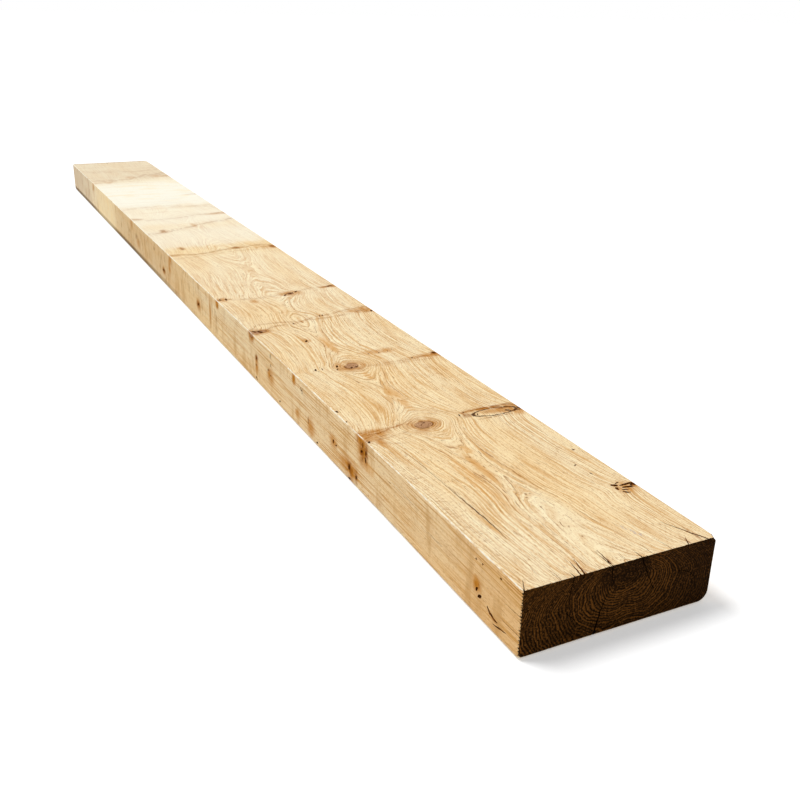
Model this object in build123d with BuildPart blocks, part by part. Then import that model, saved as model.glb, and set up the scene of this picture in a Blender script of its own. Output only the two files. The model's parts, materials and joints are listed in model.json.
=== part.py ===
"""Sawn timber dunnage beam: one piece of boxed-heart stock, 75 x 225 mm in section and 2.5 m long.

The beam lies flat. X runs along its length, towards the near end, Y across its width and Z up. The front is
the long side at -Y. The origin is in the middle of the underside. All sizes are in millimetres.
"""

import math
import os

from build123d import *

# The sawn blank
LENGTH = 2500.0
WIDTH = 225.0
THICKNESS = 75.0

# The four long arrises, worn and rounded by handling
FRONT_TOP_RADIUS = 1.6
BACK_TOP_RADIUS = 5.0
FRONT_BOTTOM_RADIUS = 5.0
BACK_BOTTOM_RADIUS = 12.0

# The knocked corners of the two ends, seen from above
NEAR_FRONT_RADIUS = 2.0
NEAR_BACK_RADIUS = 4.0
FAR_FRONT_RADIUS = 10.0
FAR_BACK_RADIUS = 18.0

# The edges of the two ends, seen from the side
NEAR_TOP_RADIUS = 1.2
NEAR_BOTTOM_RADIUS = 5.0
FAR_TOP_RADIUS = 2.5
FAR_BOTTOM_RADIUS = 12.0

# Every check and pit is open at its mouth, because its cut starts this far outside the face
PROUD = 1.0

# Where an end check starts inside the wood it is a fine tip, and it widens and deepens as it runs out
# through the arris
TIP_WIDTH = 0.3
TIP_DEPTH = 1.5

# Checks in the near end: width of the mouth at the arris, depth into the beam, and the points it passes from
# its inner tip, as distances from the middle of the width and below the top face
NEAR_CHECKS = [
    (2.6, 95.0, [(-16.0, 27.0), (-19.0, 34.0), (-22.5, 44.0), (-26.0, 57.0), (-28.0, 70.0)]),
    (1.4, 32.0, [(-12.0, 23.0), (-13.5, 14.0), (-15.0, 5.0)]),
    (1.3, 14.0, [(48.0, 56.0), (39.0, 42.0), (31.0, 26.0), (22.5, 8.0)]),
    (1.2, 10.0, [(-62.5, 39.0), (-61.5, 25.0), (-59.0, 9.0)]),
]

# Checks in the far end, given in the same way
FAR_CHECKS = [
    (2.2, 80.0, [(2.0, 34.0), (6.0, 50.0), (7.0, 66.0)]),
    (1.3, 40.0, [(-4.0, 30.0), (-9.0, 18.0), (-12.0, 7.0)]),
    (1.2, 45.0, [(38.0, 44.0), (60.0, 34.0), (88.0, 29.0), (104.0, 28.0)]),
]

# Checks in the top face. Each point is a distance from the near end, a distance in from the front or the back
# arris, and the check's width and depth there
TOP_CHECKS_FROM_FRONT = [
    [(82.0, 34.5, 0.3, 1.5), (120.0, 35.5, 1.1, 5.0), (150.0, 34.5, 1.0, 4.0), (205.0, 33.0, 0.3, 1.5)],
    [(-2.0, 65.0, 1.4, 7.0), (12.0, 68.5, 1.0, 5.0), (25.0, 71.5, 0.3, 1.5)],
    [(-2.0, 61.5, 1.4, 6.0), (12.0, 63.5, 0.9, 4.0), (24.0, 66.0, 0.3, 1.5)],
]
TOP_CHECKS_FROM_BACK = [
    [(-2.0, 11.0, 1.3, 8.0), (16.0, 20.0, 1.2, 6.0), (46.0, 33.5, 0.3, 1.5)],
    [(-2.0, 38.5, 1.1, 5.0), (6.0, 34.5, 0.8, 4.0), (13.0, 31.0, 0.3, 1.5)],
]

# Pits that bark and rot have left beside the knots. Each has its distance from the near end and its distance
# in from an edge of its face, its length and breadth at the surface, how far it is turned, and its depth
TOP_PITS_FROM_BACK = [
    (122.0, 15.0, 24.0, 15.0, 70.0, 3.5),
    (347.0, 22.0, 10.0, 5.0, 60.0, 2.5),
    (939.0, 95.5, 30.0, 8.0, -58.0, 2.5),
]
TOP_PITS_FROM_FRONT = [
    (573.0, 32.5, 9.0, 4.0, -15.0, 2.0),
    (760.0, 14.5, 14.0, 9.0, 40.0, 2.5),
]
SIDE_PITS_FROM_TOP = [
    (345.0, 18.0, 11.0, 5.0, 80.0, 4.0),
    (48.0, 57.0, 16.0, 4.0, -28.0, 2.5),
    (70.0, 49.0, 9.0, 5.0, -50.0, 3.0),
    (382.0, 55.0, 14.0, 6.0, 80.0, 3.5),
    (1072.0, 42.0, 14.0, 7.0, 25.0, 3.0),
]
PIT_FLOOR = 0.45  # breadth of a pit's floor, beside its mouth

NEAR_END = LENGTH / 2
FAR_END = -LENGTH / 2
FRONT = -WIDTH / 2
BACK = WIDTH / 2


def corner(outline, x_side, y_side):
    """The vertex of an outline that lies furthest towards one corner."""
    return outline.vertices().sort_by(lambda vertex: x_side * vertex.X + y_side * vertex.Y)[-1]


def rounded_outline(plane, size, radii):
    """A rectangle on a plane, with one radius for each corner, and its lower edge on the plane's X axis."""
    with BuildSketch(plane) as outline:
        Rectangle(*size, align=(Align.CENTER, Align.MIN))
        for (x_side, y_side), radius in radii.items():
            fillet(corner(outline.sketch_local, x_side * size[0], y_side * size[1]), radius)
    return outline.sketch


def groove_section(place, heading, outward, width, depth):
    """The V that a check makes at one place, square to the way it runs."""
    plane = Plane(origin=place, x_dir=outward.cross(heading), z_dir=heading)
    up = plane.y_dir.dot(outward)
    mouth = width / 2 * (1 + PROUD / depth)
    with BuildSketch(plane) as section:
        Polygon((-mouth, up * PROUD), (mouth, up * PROUD), (0, -up * depth), align=None)
    return section.sketch


def cut_check(stations, outward):
    """Cuts one check. A station is a place on the face, with the check's width and depth there."""
    places = [place for place, _, _ in stations]
    before = [places[0]] + places[:-1]
    after = places[1:] + [places[-1]]
    sections = [
        groove_section(place, (ahead - behind).normalized(), outward, width, depth)
        for (place, width, depth), behind, ahead in zip(stations, before, after)
    ]
    loft(sections, ruled=True, mode=Mode.SUBTRACT)


def run_out(last, previous):
    """Where a check, going straight on from its last two points, has left the end face."""
    (y, z), heading = last, Vector(last[0] - previous[0], last[1] - previous[1]).normalized()
    reach = [math.inf]
    if heading.X:
        reach.append(((BACK if heading.X > 0 else FRONT) - y) / heading.X)
    if heading.Y:
        reach.append(((THICKNESS if heading.Y > 0 else 0.0) - z) / heading.Y)
    travel = min(reach) + PROUD
    return y + heading.X * travel, z + heading.Y * travel


def cut_end_check(end, width, depth, points):
    """Cuts one check in an end face, from its inner tip out through the arris that it runs to."""
    path = [(across, THICKNESS - below) for across, below in points]
    path.append(run_out(path[-1], path[-2]))
    stations = []
    for number, (y, z) in enumerate(path):
        share = number / (len(path) - 1)
        here = TIP_WIDTH + (width - TIP_WIDTH) * share, TIP_DEPTH + (depth - TIP_DEPTH) * share
        stations.append((Vector(end, y, z), *here))
    cut_check(stations, Vector(math.copysign(1, end), 0, 0))


def cut_top_check(edge, inward, points):
    """Cuts one check in the top face, placed from one of the two long arrises."""
    stations = [
        (Vector(NEAR_END - from_end, edge + inward * from_edge, THICKNESS), width, depth)
        for from_end, from_edge, width, depth in points
    ]
    cut_check(stations, Vector(0, 0, 1))


def cut_pit(face, length, breadth, turn, depth):
    """Cuts a shallow oval pit, narrower at its floor than at its mouth."""
    turned = face.rotated((0, 0, turn))
    flare = 1 + (1 - PIT_FLOOR) * PROUD / depth
    sections = []
    for level, scale in ((PROUD, flare), (-depth, PIT_FLOOR)):
        with BuildSketch(turned.offset(level)) as oval:
            Ellipse(length / 2 * scale, breadth / 2 * scale)
        sections.append(oval.sketch)
    loft(sections, ruled=True, mode=Mode.SUBTRACT)


cross_section = rounded_outline(
    Plane.YZ,
    (WIDTH, THICKNESS),
    {
        (-1, 1): FRONT_TOP_RADIUS,
        (1, 1): BACK_TOP_RADIUS,
        (-1, -1): FRONT_BOTTOM_RADIUS,
        (1, -1): BACK_BOTTOM_RADIUS,
    },
)
outline_from_above = rounded_outline(
    Plane.XY.offset(0).move(Location((0, FRONT, 0))),
    (LENGTH, WIDTH),
    {
        (1, -1): NEAR_FRONT_RADIUS,
        (1, 1): NEAR_BACK_RADIUS,
        (-1, -1): FAR_FRONT_RADIUS,
        (-1, 1): FAR_BACK_RADIUS,
    },
)
outline_from_front = rounded_outline(
    Plane.XZ,
    (LENGTH, THICKNESS),
    {
        (1, 1): NEAR_TOP_RADIUS,
        (1, -1): NEAR_BOTTOM_RADIUS,
        (-1, 1): FAR_TOP_RADIUS,
        (-1, -1): FAR_BOTTOM_RADIUS,
    },
)

with BuildPart() as sawn_beam:
    # The blank is what the cross-section, the outline from above and the outline from the front share
    extrude(cross_section, amount=LENGTH / 2, both=True)
    extrude(outline_from_above, amount=THICKNESS, mode=Mode.INTERSECT)
    extrude(outline_from_front, amount=WIDTH / 2, both=True, mode=Mode.INTERSECT)

    # Drying has split both ends, and opened a few checks in the top face
    for check in NEAR_CHECKS:
        cut_end_check(NEAR_END, *check)
    for check in FAR_CHECKS:
        cut_end_check(FAR_END, *check)
    for check in TOP_CHECKS_FROM_FRONT:
        cut_top_check(FRONT, 1, check)
    for check in TOP_CHECKS_FROM_BACK:
        cut_top_check(BACK, -1, check)

    # The pits lie beside the knots, in the top face and in the front
    for from_end, from_edge, *shape in TOP_PITS_FROM_BACK:
        cut_pit(Plane((NEAR_END - from_end, BACK - from_edge, THICKNESS)), *shape)
    for from_end, from_edge, *shape in TOP_PITS_FROM_FRONT:
        cut_pit(Plane((NEAR_END - from_end, FRONT + from_edge, THICKNESS)), *shape)
    for from_end, from_top, *shape in SIDE_PITS_FROM_TOP:
        cut_pit(Plane((NEAR_END - from_end, FRONT, THICKNESS - from_top), (1, 0, 0), (0, -1, 0)), *shape)

sawn_beam.part.label = "sawn_beam"
os.makedirs("parts", exist_ok=True)
export_step(sawn_beam.part, "parts/sawn_beam.step")
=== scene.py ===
"""A sawn timber dunnage beam: knotty honey-coloured wood with split, dark ends, lying on a pale floor."""

import json
import math
import random

import bpy
from bpy.props import FloatProperty, FloatVectorProperty, IntProperty, PointerProperty
from mathutils import Matrix, Quaternion, Vector

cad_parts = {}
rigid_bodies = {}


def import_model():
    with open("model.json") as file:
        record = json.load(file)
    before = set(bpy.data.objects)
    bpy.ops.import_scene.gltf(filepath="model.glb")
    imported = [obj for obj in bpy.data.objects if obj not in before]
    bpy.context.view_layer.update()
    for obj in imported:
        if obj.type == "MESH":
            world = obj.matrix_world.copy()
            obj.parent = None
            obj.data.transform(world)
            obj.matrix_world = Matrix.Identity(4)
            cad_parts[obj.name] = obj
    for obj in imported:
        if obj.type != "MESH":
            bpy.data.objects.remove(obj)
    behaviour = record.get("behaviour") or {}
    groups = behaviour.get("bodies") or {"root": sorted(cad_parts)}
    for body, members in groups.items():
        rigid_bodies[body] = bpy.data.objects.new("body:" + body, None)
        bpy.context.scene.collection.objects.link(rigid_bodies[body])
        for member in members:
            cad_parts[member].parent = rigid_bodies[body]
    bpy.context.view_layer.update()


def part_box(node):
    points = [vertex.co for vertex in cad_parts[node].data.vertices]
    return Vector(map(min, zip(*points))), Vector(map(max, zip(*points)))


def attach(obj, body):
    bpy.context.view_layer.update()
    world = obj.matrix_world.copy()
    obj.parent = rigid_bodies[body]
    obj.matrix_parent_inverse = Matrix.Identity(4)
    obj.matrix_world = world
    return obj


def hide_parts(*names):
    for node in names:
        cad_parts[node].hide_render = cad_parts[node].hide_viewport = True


bl_info = {
    "name": "Sawn timber beam",
    "version": (1, 0, 0),
    "blender": (4, 5, 0),
    "location": "3D View > Sidebar > Timber",
    "description": "Draws a knotty sawn timber beam with checks, bark pits and a solid wood material",
    "category": "Add Mesh",
}

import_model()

NODE = "sawn_beam"
SLOT = "sawn_timber"
PIECE = "beam_timber"
MM = 0.001

LOW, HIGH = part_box(NODE)
NEAR_END = HIGH.x
FAR_END = LOW.x
FRONT = LOW.y
BACK = HIGH.y
UNDERSIDE = LOW.z
TOP = HIGH.z
WIDTH = BACK - FRONT
THICKNESS = TOP - UNDERSIDE

# The same in millimetres, the unit of the lists of places below
END_MM = NEAR_END / MM
FRONT_MM = FRONT / MM
BACK_MM = BACK / MM
TOP_MM = TOP / MM


def paint(red, green, blue):
    """A colour given as a painter reads it, from 0 to 255, in the linear light that a socket holds."""
    parts = [part / 255 for part in (red, green, blue)]
    return tuple(part / 12.92 if part <= 0.04045 else ((part + 0.055) / 1.055) ** 2.4 for part in parts)


def colour_property(name, description, *painted):
    """A colour that a user may change."""
    return FloatVectorProperty(
        name=name, description=description, default=paint(*painted), subtype="COLOR", min=0.0, max=1.0
    )


def length_property(name, description, default):
    """A length that a user may change."""
    return FloatProperty(name=name, description=description, default=default, unit="LENGTH")


# Sizes and colours that a user may change


class BeamSizes(bpy.types.PropertyGroup):
    """The beam's worn arrises, the depth of its saw marks and the fineness of its mesh."""

    front_top: length_property("Front top arris", "Radius of the sharp arris at the front", 0.0016)
    back_top: length_property("Back top arris", "Radius of the worn arris at the back", 0.005)
    front_bottom: length_property("Front bottom arris", "Radius of the lower arris at the front", 0.005)
    back_bottom: length_property("Back bottom arris", "Radius of the lower arris at the back", 0.012)
    saw_wave: length_property("Saw wave", "How deep the saw's wander goes in the long faces", 0.0006)
    cells_across: IntProperty(name="Cells across", description="Mesh cells in the width", default=72, min=12)
    cells_up: IntProperty(name="Cells up", description="Mesh cells through the thickness", default=26, min=8)
    seed: IntProperty(name="Seed", description="Picks where the small chips and specks lie", default=11)


class WoodColours(bpy.types.PropertyGroup):
    """The colours of the wood, from its pale early growth to its weathered ends."""

    early: colour_property("Early wood", "The pale wood between the rings", 255, 240, 200)
    warm: colour_property("Warm wood", "Broad warm patches of the sound wood", 252, 223, 168)
    fibre: colour_property("Fibre", "The fine lines of the grain", 214, 158, 80)
    late: colour_property("Late wood", "The growth rings where they are strong", 213, 150, 66)
    dash: colour_property("Dashes", "The short dark dashes along the grain", 144, 82, 20)
    front: colour_property("Front", "The warm stain on the front face near the split end", 238, 192, 132)
    # The bleached colour also paints the glare highlight on the far stretch of the top
    bleached: colour_property("Bleached", "The sun-bleached stretch towards the far end", 255, 251, 234)
    stain: colour_property("Stain", "The brown stain beside the knots", 196, 128, 40)
    heart: colour_property("Knot heart", "The middle of a sound knot", 200, 156, 118)
    bark: colour_property("Bark", "Bark and rot in the pits and along the knots", 72, 37, 11)
    # The end grain's colours hold painted shade as well as the dark of weathered end grain
    end_rings_shaded: colour_property("End rings", "The lighter rings of the weathered end grain", 118, 73, 26)
    end_wood_shaded: colour_property("End wood", "The darkest wood of the weathered end grain", 30, 15, 3)
    # The arris colour is worn pale wood with a painted highlight
    arris: colour_property("Arris", "The rubbed front arris", 255, 249, 230)


class StageSettings(bpy.types.PropertyGroup):
    """The floor, the lamps and the camera."""

    eye: FloatVectorProperty(
        name="Eye", description="Where the camera stands", default=(1.82188, -0.52506, 0.54437), subtype="XYZ"
    )
    gaze: FloatVectorProperty(
        name="Gaze",
        description="The way the camera looks",
        default=(-0.82385, 0.41511, -0.38596),
        subtype="XYZ",
    )
    right: FloatVectorProperty(
        name="Right", description="What the camera has on its right", default=(0.44236, 0.89661, 0.02008)
    )
    lens: FloatProperty(name="Lens", description="Focal length in millimetres", default=42.56, unit="CAMERA")
    floor_size: length_property("Floor", "Length of the floor's sides", 80.0)
    floor_colour: FloatVectorProperty(
        name="Floor colour", description="Colour of the floor", default=(0.80, 0.80, 0.80), subtype="COLOR"
    )
    floor_glow: FloatProperty(
        name="Floor glow", description="How much whiter than lit the camera sees the floor", default=0.37
    )
    sky: FloatProperty(name="Sky", description="Strength of the light from all round", default=0.42)
    key: FloatProperty(name="Key", description="Strength of the large lamp above the front", default=2.2)
    key_from: FloatVectorProperty(
        name="Key from", description="Where the large lamp's light comes from", default=(-0.34, -0.30, 0.89)
    )


# Small tools of the modeller


def start():
    """Leaves nothing selected, so that the next primitive is alone."""
    if bpy.context.mode != "OBJECT":
        bpy.ops.object.mode_set(mode="OBJECT")
    bpy.ops.object.select_all(action="DESELECT")


def only(*objects):
    """Selects these objects alone, with the first one active."""
    start()
    for item in objects:
        item.select_set(True)
    bpy.context.view_layer.objects.active = objects[0]


def fresh(name):
    """Names the primitive that was just added, and puts its place and size into its mesh."""
    made = bpy.context.object
    made.name = name
    made.data.name = name
    bpy.ops.object.transform_apply(location=True, rotation=True, scale=True)
    return made


def divide_edges(mesh, wanted, cuts):
    """Cuts up the edges whose two ends a test takes. The mesh's object is active, in object mode."""
    bpy.context.tool_settings.mesh_select_mode = (False, True, False)
    mesh.vertices.foreach_set("select", [False] * len(mesh.vertices))
    mesh.polygons.foreach_set("select", [False] * len(mesh.polygons))
    points = [vertex.co.copy() for vertex in mesh.vertices]
    mesh.edges.foreach_set("select", [wanted(*(points[i] for i in edge.vertices)) for edge in mesh.edges])
    bpy.ops.object.mode_set(mode="EDIT")
    bpy.ops.mesh.subdivide(number_cuts=cuts)
    bpy.ops.object.mode_set(mode="OBJECT")


def the_beam():
    """The beam's own object, which the first operator draws."""
    if PIECE not in bpy.data.objects:
        raise RuntimeError("The sawn blank has to be drawn first")
    return bpy.data.objects[PIECE]


def cut_away(beam, tools, name):
    """Cuts all the tools out of the beam at once. The cut walls take the tools' own materials."""
    meshes = [tool.data for tool in tools]
    only(*tools)
    if len(tools) > 1:
        bpy.ops.object.join()
    joined = bpy.context.object
    only(beam)
    bpy.ops.object.modifier_add(type="BOOLEAN")
    modifier = beam.modifiers[-1]
    modifier.name = name
    modifier.operation = "DIFFERENCE"
    modifier.solver = "MANIFOLD"
    modifier.material_mode = "TRANSFER"
    modifier.object = joined
    bpy.ops.object.modifier_apply(modifier=name)
    only(joined)
    bpy.ops.object.delete()
    bpy.data.batch_remove(meshes)


# The blank: drawn out from a grid that is its far end


# The radii of the two ends' edges, and how many rings of mesh each end's rounding has
FAR_CORNERS = {"front": 0.010, "back": 0.018, "top": 0.0025, "bottom": 0.012}
NEAR_CORNERS = {"front": 0.002, "back": 0.004, "top": 0.0012, "bottom": 0.005}
CORNER_STEPS = 6
# How much smaller the grid's cells are at its edges than in its middle
EDGE_CROWDING = 0.24
# The long stretches, each with where it ends (from the far end) and how long its mesh cells are
STRETCHES = ((0.25, 0.009), (0.90, 0.009), (1.60, 0.009), (2.15, 0.0065), (2.42, 0.004), (2.495, 0.0024))
# The saw's wave: the size of its lumps, and how far they are drawn out along the beam
WAVE_LUMP = 0.09
WAVE_STRETCH = (3.2, 1, 1)


def arc_inset(radius, from_end):
    """How far a rounded corner stands back from the straight side, at a distance in from the end."""
    reach = max(radius - from_end, 0.0)
    return radius - math.sqrt(radius**2 - reach**2)


def spread_cells(mesh):
    """Crowds the grid's cells towards its edges, where the arrises are."""
    for vertex in mesh.vertices:
        for axis in (1, 2):
            share = 2 * vertex.co[axis]
            vertex.co[axis] = 0.5 * share * (1 + EDGE_CROWDING - EDGE_CROWDING * share**2)


def round_section(mesh, sizes):
    """Rounds the four corners of the grid, by pressing each corner's square of mesh into a quarter disc."""
    corners = {
        (FRONT, TOP): sizes.front_top,
        (BACK, TOP): sizes.back_top,
        (FRONT, UNDERSIDE): sizes.front_bottom,
        (BACK, UNDERSIDE): sizes.back_bottom,
    }
    for (edge_y, edge_z), radius in corners.items():
        side_y = math.copysign(1, edge_y)
        side_z = 1 if edge_z == TOP else -1
        for vertex in mesh.vertices:
            out_y = side_y * vertex.co.y - abs(edge_y) + radius
            out_z = side_z * (vertex.co.z - edge_z) + radius
            out = Vector((out_y, out_z))
            if min(out) <= 0:
                continue
            out *= max(out) / out.length
            vertex.co.y = side_y * (abs(edge_y) - radius + out.x)
            vertex.co.z = edge_z - side_z * (radius - out.y)


def ring_limits(x):
    """The front, back, lower and upper limits of the beam at one place along it."""
    insets = {}
    for side in FAR_CORNERS:
        far = arc_inset(FAR_CORNERS[side], x - FAR_END)
        near = arc_inset(NEAR_CORNERS[side], NEAR_END - x)
        insets[side] = max(far, near)
    return (
        FRONT + insets["front"],
        BACK - insets["back"],
        UNDERSIDE + insets["bottom"],
        TOP - insets["top"],
    )


def fit_ring(before, after):
    """Scales the selected ring from its limits before to its limits after."""
    factors, centres = [1.0], [0.0]
    for low, high in ((0, 1), (2, 3)):
        factor = (after[high] - after[low]) / (before[high] - before[low])
        moved = factor != 1
        factors.append(factor)
        centres.append((after[low] - factor * before[low]) / (1 - factor) if moved else 0.0)
    if factors != [1.0, 1.0, 1.0]:
        bpy.ops.transform.resize(value=factors, center_override=centres)


def ring_places():
    """Where the rings stand along the beam, close together where its ends are rounded."""
    bends = [1 - math.cos(math.pi / 2 * step / CORNER_STEPS) for step in range(CORNER_STEPS + 1)]
    far = [FAR_END + max(FAR_CORNERS.values()) * bend for bend in bends]
    near = [NEAR_END - max(NEAR_CORNERS.values()) * bend for bend in bends]
    between = [FAR_END + place for place, _ in STRETCHES[:-1]]
    return far + between + near[::-1]


def draw_blank(sizes):
    """Draws the beam out from a grid at its far end, with its corners and arrises rounded."""
    start()
    bpy.ops.mesh.primitive_grid_add(
        x_subdivisions=sizes.cells_across,
        y_subdivisions=sizes.cells_up,
        size=1,
        rotation=(math.pi / 2, 0, math.pi / 2),
    )
    beam = fresh(PIECE)
    spread_cells(beam.data)
    bpy.ops.transform.resize(value=(1, WIDTH, THICKNESS), center_override=(0, 0, 0))
    bpy.ops.transform.translate(value=(FAR_END, (FRONT + BACK) / 2, (UNDERSIDE + TOP) / 2))
    bpy.ops.object.transform_apply(location=True, rotation=True, scale=True)
    round_section(beam.data, sizes)

    bpy.ops.object.mode_set(mode="EDIT")
    bpy.ops.mesh.select_all(action="SELECT")
    places = ring_places()
    fit_ring((FRONT, BACK, UNDERSIDE, TOP), ring_limits(places[0]))
    for before, after in zip(places, places[1:]):
        bpy.ops.mesh.extrude_region_move(TRANSFORM_OT_translate={"value": (after - before, 0, 0)})
        fit_ring(ring_limits(before), ring_limits(after))
    bpy.ops.object.mode_set(mode="OBJECT")

    begin = FAR_END + max(FAR_CORNERS.values())
    for place, cell in STRETCHES:
        finish = FAR_END + place
        middle = (begin + finish) / 2
        cuts = max(round((finish - begin) / cell) - 1, 1)
        divide_edges(beam.data, lambda a, b: min(a.x, b.x) < middle < max(a.x, b.x), cuts)
        begin = finish
    return beam


def sway(beam, depth):
    """Lets the saw wander: the faces lie in long shallow waves, never outside the blank."""
    clouds = bpy.data.textures.new("saw wave", "CLOUDS")
    clouds.noise_scale = WAVE_LUMP
    clouds.noise_depth = 1
    start()
    bpy.ops.object.empty_add()
    stretch = bpy.context.object
    stretch.scale = WAVE_STRETCH
    only(beam)
    bpy.ops.object.modifier_add(type="DISPLACE")
    modifier = beam.modifiers[-1]
    modifier.texture = clouds
    modifier.texture_coords = "OBJECT"
    modifier.texture_coords_object = stretch
    modifier.mid_level = 1.0
    modifier.strength = depth
    bpy.context.view_layer.update()
    bpy.ops.object.modifier_apply(modifier=modifier.name)
    only(stretch)
    bpy.ops.object.delete()
    bpy.data.textures.remove(clouds)


class TIMBER_OT_blank(bpy.types.Operator):
    """Draw the sawn blank, with its worn arrises, knocked corners and saw wave"""

    bl_idname = "timber.blank"
    bl_label = "Sawn blank"

    def execute(self, context):
        sizes = context.scene.beam_sizes
        beam = draw_blank(sizes)
        sway(beam, sizes.saw_wave)
        beam.data.materials.append(wood_recipe(context.scene.wood_colours))
        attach(beam, "root")
        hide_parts(NODE)
        return {"FINISHED"}


# Checks: the cracks that drying has opened in the ends and in the top face. Places are in millimetres


# How far a check's tool stands out of the face
PROUD = 1.0
# How far a crack runs before it bends
CHECK_STEP = 4.0
# The fine inner tip of a check in an end face
TIP_WIDTH = 0.3
TIP_DEPTH = 1.5
# A check's width at its floor, beside its width at the face
FLOOR_SHARE = 0.08

# Checks in an end face: the width at the mouth, the depth into the beam, and the places across and up that
# the check passes, from its inner tip to outside the face
NEAR_CHECKS = [
    (2.6, 95.0, [(-15.5, 50), (-19, 41), (-22.5, 31), (-26, 18), (-28, 5), (-28.6, -2)]),
    (1.4, 32.0, [(-12, 52), (-13.5, 61), (-15, 70), (-16.2, 77)]),
    (1.3, 14.0, [(48, 19), (39, 33), (31, 49), (22.5, 67), (18.2, 77)]),
    (1.2, 10.0, [(-62.5, 36), (-61.5, 50), (-59, 66), (-56.8, 77)]),
    (0.9, 4.0, [(-43, 15), (-50, 23), (-57, 31), (-62.5, 37)]),
    (0.8, 4.0, [(92, 22), (90, 33), (84, 41), (70, 48)]),
]
FAR_CHECKS = [
    (2.2, 80.0, [(2, 41), (6, 25), (7, 9), (7.6, -2)]),
    (1.3, 40.0, [(-4, 45), (-9, 57), (-12, 68), (-14, 77)]),
    (1.2, 45.0, [(38, 31), (60, 41), (88, 46), (104, 47), (115, 47.6)]),
]

# Checks in the top face: each place along and across, with the width and the depth there
TOP_CHECKS = [
    [(1168, -78, 0.3, 1.5), (1130, -77, 1.1, 5.0), (1100, -78, 1.0, 4.0), (1045, -79.5, 0.3, 1.5)],
    [(1058, -79, 0.3, 1.0), (1020, -80, 0.5, 1.8), (985, -80.5, 0.45, 1.5), (955, -83, 0.3, 0.8)],
    [(1252, -47.5, 1.9, 7.0), (1238, -44, 1.4, 5.0), (1225, -41, 0.5, 1.5)],
    [(1252, -51, 1.8, 6.0), (1238, -49, 1.2, 4.0), (1226, -46.5, 0.4, 1.5)],
    [(1252, 101.5, 1.7, 8.0), (1234, 92.5, 1.7, 6.0), (1216, 84.5, 1.1, 3.0), (1204, 79, 0.4, 1.5)],
    [(1252, 74, 1.4, 5.0), (1244, 78, 1.1, 4.0), (1237, 81.5, 0.4, 1.5)],
    [(1252, -113, 1.2, 3.0), (1245, -108.5, 1.0, 2.5), (1234, -103, 0.4, 1.0)],
    [(1252, -15.6, 1.7, 7.0), (1238, -13.6, 1.3, 5.0), (1221, -11.8, 0.5, 1.5)],
    [(1252, -72.5, 0.6, 2.0), (1243, -71.5, 0.5, 1.5), (1236, -71, 0.3, 0.8)],
    [(1252, 33, 0.5, 2.0), (1240, 32.5, 0.45, 1.5), (1230, 32, 0.3, 0.8)],
    [(1252, 55, 0.5, 2.0), (1238, 54, 0.45, 1.5), (1226, 52.5, 0.3, 0.8)],
    [(1252, 2, 0.5, 1.5), (1244, 3, 0.4, 1.2), (1234, 3.6, 0.3, 0.8)],
]

# Checks in the front face: each place along and up, with the width and the depth there
FRONT_CHECKS = [
    [(1194, 24, 1.4, 2.0), (1199, 20, 3.4, 3.5), (1206, 17.5, 3.0, 3.5), (1213, 17, 1.2, 1.5)],
    [(1206, 12, 0.8, 1.0), (1215, 13, 2.0, 2.5), (1228, 15.5, 0.8, 1.0)],
    [(1250, 26, 0.5, 1.5), (1232, 25.5, 0.6, 1.5), (1216, 26, 0.3, 0.8)],
    [(1252, 47, 0.5, 1.5), (1238, 46, 0.5, 1.2), (1224, 45.5, 0.3, 0.8)],
    [(1105, 39, 0.3, 0.8), (1090, 38.6, 0.6, 1.4), (1074, 38.8, 0.3, 0.8)],
    [(1052, 53, 0.3, 0.8), (1030, 54, 0.5, 1.2), (985, 55, 0.3, 0.8)],
]


def turned_place(face, first, second):
    """A place on a face, and the way that the face looks. The two distances are in millimetres."""
    if face == "top":
        return Vector((first * MM, second * MM, TOP)), Vector((0, 0, 1))
    if face == "front":
        return Vector((first * MM, FRONT, second * MM)), Vector((0, -1, 0))
    end, way = (NEAR_END, 1) if face == "near" else (FAR_END, -1)
    return Vector((end, first * MM, second * MM)), Vector((way, 0, 0))


def wandering(stations, dice):
    """Puts stations in between, each pushed a little to the side, as a crack runs through wood."""
    walked = []
    for before, after in zip(stations, stations[1:]):
        steps = max(round(math.dist(before[:2], after[:2]) / CHECK_STEP), 1)
        for step in range(steps):
            share = step / steps
            here = [a + (b - a) * share for a, b in zip(before, after)]
            shake = min(here[2], 0.8) * 0.5
            pushed = [value + dice.uniform(-shake, shake) for value in here[:2]]
            walked.append((*pushed, *here[2:]))
    return walked + [stations[-1]]


def check_tool(face, stations, material):
    """A long wedge that cuts one check. Each station has a width and a depth."""
    start()
    bpy.ops.mesh.primitive_cube_add(size=1)
    wedge = fresh("check_tool")
    if len(stations) > 2:
        divide_edges(wedge.data, lambda a, b: a.x * b.x < 0, len(stations) - 2)
    last = len(stations) - 1
    places = [turned_place(face, *station[:2])[0] for station in stations]
    outward = turned_place(face, 0, 0)[1]
    for vertex in wedge.data.vertices:
        number = round((vertex.co.x + 0.5) * last)
        width, depth = (value * MM for value in stations[number][2:])
        heading = (places[min(number + 1, last)] - places[max(number - 1, 0)]).normalized()
        side = outward.cross(heading) * math.copysign(1, vertex.co.y)
        if vertex.co.z > 0:
            vertex.co = places[number] + side * width / 2 * (1 + PROUD * MM / depth) + outward * PROUD * MM
        else:
            vertex.co = places[number] + side * width / 2 * FLOOR_SHARE - outward * depth
    wedge.data.materials.append(material)
    return wedge


def end_stations(width, depth, points):
    """Widens and deepens an end check evenly from its fine inner tip to its mouth."""
    stations = []
    for number, (across, up) in enumerate(points):
        share = number / (len(points) - 1)
        here = TIP_WIDTH + (width - TIP_WIDTH) * share, TIP_DEPTH + (depth - TIP_DEPTH) * share
        stations.append((across, up, *here))
    return stations


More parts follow.
